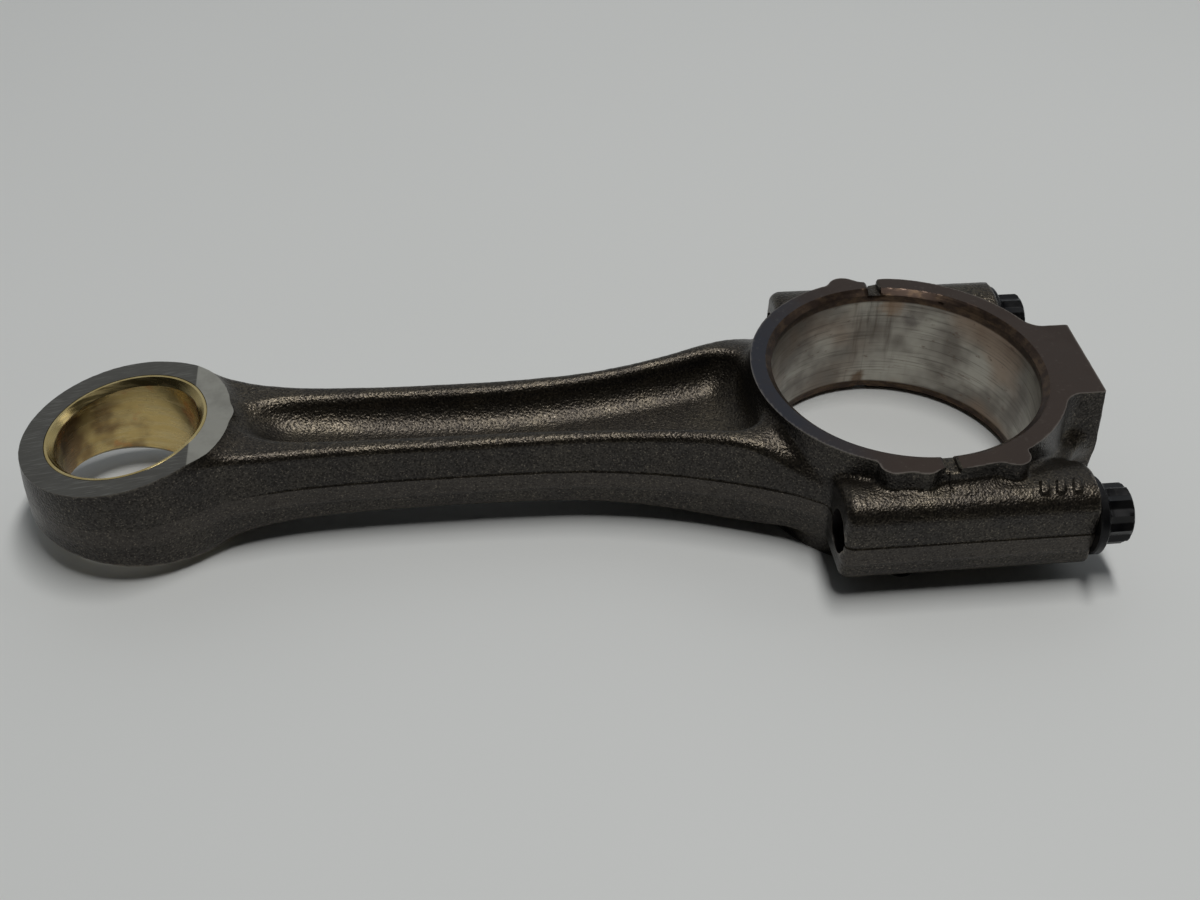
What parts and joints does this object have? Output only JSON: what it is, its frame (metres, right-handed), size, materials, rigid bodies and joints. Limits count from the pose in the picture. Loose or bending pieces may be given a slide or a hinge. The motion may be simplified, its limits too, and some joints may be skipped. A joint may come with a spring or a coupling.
{
  "type": "connecting rod",
  "caption": "Forged I-beam connecting rod lying flat, with a tapered small end, a bronze pin bush, a removable bearing cap and two twelve-point cap bolts.",
  "frame": {"origin": "centre of the bounding box in plan, on the lower machined face of the big end", "axes": "+X from the small end to the bearing cap, +Z along the crank axis through both bores, +Y across the rod"},
  "size_m": [0.1994, 0.075, 0.0248],
  "materials": {
    "forged_steel": "dark forged scale with oil-stained machined faces",
    "bush_bronze": "turned bronze, worn and heat-stained in the bore",
    "bolt_steel": "black oxide, lightly oiled"
  },
  "bodies": {
    "rod": {"rod_forging": "forged_steel", "small_end_bush": "bush_bronze"},
    "cap": {"bearing_cap": "forged_steel"},
    "near_bolt": {"cap_bolt_near": "bolt_steel"},
    "far_bolt": {"cap_bolt_far": "bolt_steel"}
  },
  "joints": [
    {"name": "cap_slide", "type": "slide", "parent": "rod", "child": "cap", "axis": [1, 0, 0], "range_m": [0, 0.04]},
    {"name": "near_bolt_slide", "type": "slide", "parent": "cap", "child": "near_bolt", "axis": [1, 0, 0], "range_m": [0, 0.046]},
    {"name": "far_bolt_slide", "type": "slide", "parent": "cap", "child": "far_bolt", "axis": [1, 0, 0], "range_m": [0, 0.046]}
  ]
}
